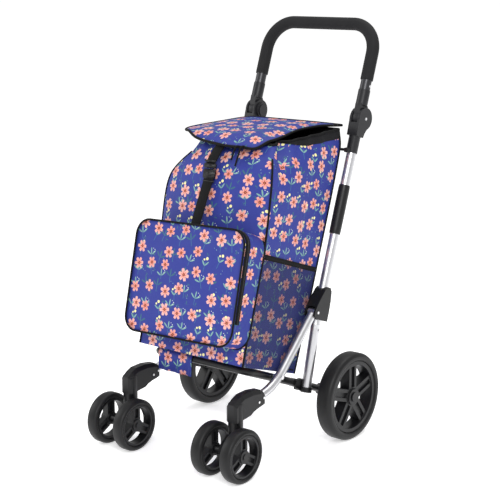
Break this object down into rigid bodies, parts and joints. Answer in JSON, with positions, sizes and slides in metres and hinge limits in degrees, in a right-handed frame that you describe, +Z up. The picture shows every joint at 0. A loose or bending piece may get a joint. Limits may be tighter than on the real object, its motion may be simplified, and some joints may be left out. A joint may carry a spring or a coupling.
{
  "type": "shopping trolley",
  "caption": "Folding shopping trolley with twin swivel casters in front, large rear wheels, a U-shaped foam handle and a leaning fabric bag with a lid flap and front pocket.",
  "frame": {"origin": "bottom centre of the bounding box, on the floor", "axes": "+Z up, casters lead toward -Y, left pieces at -X"},
  "size_m": [0.4528, 0.6074, 0.936],
  "materials": {
    "aluminium": "satin",
    "steel": "satin",
    "plastic": "matte",
    "graphite": "satin",
    "foam": "matte",
    "tyre": "matte",
    "print": "printed weave",
    "webbing": "woven",
    "net": "net",
    "black_paint": "semi-gloss",
    "dark_tube": "satin"
  },
  "bodies": {
    "frame": {"left_upright": "aluminium", "right_upright": "aluminium", "lock_collars": "plastic", "left_lower_hinge": "graphite", "right_lower_hinge": "graphite", "hinge_pins": "steel", "foot_clamps": "plastic", "base_pivot_pins": "black_paint", "rear_forks": "black_paint", "rear_axle": "black_paint", "axle_caps": "plastic", "hanging_rod": "black_paint", "rod_pegs": "plastic", "bag_body": "print", "base_board": "webbing", "hanging_sleeve": "webbing", "left_mesh_pocket": "net", "right_mesh_pocket": "net", "front_pocket": "print", "pocket_strap": "webbing", "buckle_socket": "plastic"},
    "handle": {"left_upper_hinge": "graphite", "right_upper_hinge": "graphite", "handle_tube": "dark_tube", "handle_grip": "foam", "handle_rivets": "steel"},
    "left_release": {"left_release_button": "graphite"},
    "right_release": {"right_release_button": "graphite"},
    "leg_slider": {"left_leg_joint": "plastic", "right_leg_joint": "plastic", "leg_pins": "steel"},
    "left_lock": {"left_lock_button": "steel"},
    "right_lock": {"right_lock_button": "steel"},
    "front_legs": {"left_front_leg": "aluminium", "right_front_leg": "aluminium", "left_elbow": "plastic", "right_elbow": "plastic", "elbow_rivets": "steel", "ring_bolts": "steel"},
    "base": {"base_bar": "black_paint", "bar_tab": "print"},
    "left_caster": {"left_caster_fork": "plastic", "left_caster_axle": "black_paint"},
    "right_caster": {"right_caster_fork": "plastic", "right_caster_axle": "black_paint"},
    "left_outer_wheel": {"left_outer_caster_hub": "plastic", "left_outer_caster_tyre": "tyre"},
    "left_inner_wheel": {"left_inner_caster_hub": "plastic", "left_inner_caster_tyre": "tyre"},
    "right_inner_wheel": {"right_inner_caster_hub": "plastic", "right_inner_caster_tyre": "tyre"},
    "right_outer_wheel": {"right_outer_caster_hub": "plastic", "right_outer_caster_tyre": "tyre"},
    "left_big_wheel": {"left_rear_wheel": "plastic", "left_rear_tyre": "tyre"},
    "right_big_wheel": {"right_rear_wheel": "plastic", "right_rear_tyre": "tyre"},
    "lid": {"bag_lid": "print", "lid_strap": "webbing", "buckle_plug": "plastic"}
  },
  "joints": [
    {"name": "handle_fold", "type": "hinge", "parent": "frame", "child": "handle", "pos_m": [0, 0.22729, 0.71419], "axis": [-1, 0, 0], "range_deg": [0, 145]},
    {"name": "left_release_press", "type": "slide", "parent": "frame", "child": "left_release", "axis": [-1, 0, 0], "range_m": [0, 0.003], "stiffness_N_per_m": 500},
    {"name": "right_release_press", "type": "slide", "parent": "frame", "child": "right_release", "axis": [1, 0, 0], "range_m": [0, 0.003], "stiffness_N_per_m": 500},
    {"name": "fold_slide", "type": "slide", "parent": "frame", "child": "leg_slider", "axis": [0, 0.3256, 0.9455], "range_m": [0, 0.092], "deforming": ["bag_body", "base_board", "left_mesh_pocket", "right_mesh_pocket", "front_pocket", "pocket_strap", "buckle_socket", "hanging_sleeve"]},
    {"name": "leg_swing", "type": "hinge", "parent": "leg_slider", "child": "front_legs", "pos_m": [0, 0.05114, 0.29997], "axis": [1, 0, 0], "range_deg": [0, 19.43]},
    {"name": "base_swing", "type": "hinge", "parent": "frame", "child": "base", "pos_m": [0, 0.01314, 0.141], "axis": [-1, 0, 0], "range_deg": [0, 61.06]},
    {"name": "left_lock_press", "type": "slide", "parent": "frame", "child": "left_lock", "axis": [1, 0, 0], "range_m": [0, 0.003], "stiffness_N_per_m": 500},
    {"name": "right_lock_press", "type": "slide", "parent": "frame", "child": "right_lock", "axis": [-1, 0, 0], "range_m": [0, 0.003], "stiffness_N_per_m": 500},
    {"name": "left_swivel", "type": "hinge", "parent": "front_legs", "child": "left_caster", "pos_m": [-0.154, -0.21586, 0.09], "axis": [0, 0, 1], "continuous": true},
    {"name": "right_swivel", "type": "hinge", "parent": "front_legs", "child": "right_caster", "pos_m": [0.154, -0.21586, 0.09], "axis": [0, 0, 1], "continuous": true},
    {"name": "left_outer_roll", "type": "hinge", "parent": "left_caster", "child": "left_outer_wheel", "pos_m": [-0.1936, -0.24586, 0.0578], "axis": [1, 0, 0], "continuous": true},
    {"name": "left_inner_roll", "type": "hinge", "parent": "left_caster", "child": "left_inner_wheel", "pos_m": [-0.1144, -0.24586, 0.0578], "axis": [1, 0, 0], "continuous": true},
    {"name": "left_big_roll", "type": "hinge", "parent": "frame", "child": "left_big_wheel", "pos_m": [-0.2062, 0.11714, 0.1], "axis": [1, 0, 0], "continuous": true},
    {"name": "right_outer_roll", "type": "hinge", "parent": "right_caster", "child": "right_outer_wheel", "pos_m": [0.1936, -0.24586, 0.0578], "axis": [1, 0, 0], "continuous": true},
    {"name": "right_inner_roll", "type": "hinge", "parent": "right_caster", "child": "right_inner_wheel", "pos_m": [0.1144, -0.24586, 0.0578], "axis": [1, 0, 0], "continuous": true},
    {"name": "right_big_roll", "type": "hinge", "parent": "frame", "child": "right_big_wheel", "pos_m": [0.2062, 0.11714, 0.1], "axis": [1, 0, 0], "continuous": true},
    {"name": "lid_open", "type": "hinge", "parent": "frame", "child": "lid", "pos_m": [0, 0.16406, 0.7012], "axis": [-1, 0, 0], "range_deg": [0, 100]}
  ],
  "couplings": [
    {"joint": "leg_swing", "follows": "fold_slide", "rad_per_m": 3.6478},
    {"joint": "base_swing", "follows": "fold_slide", "rad_per_m": 11.526}
  ]
}
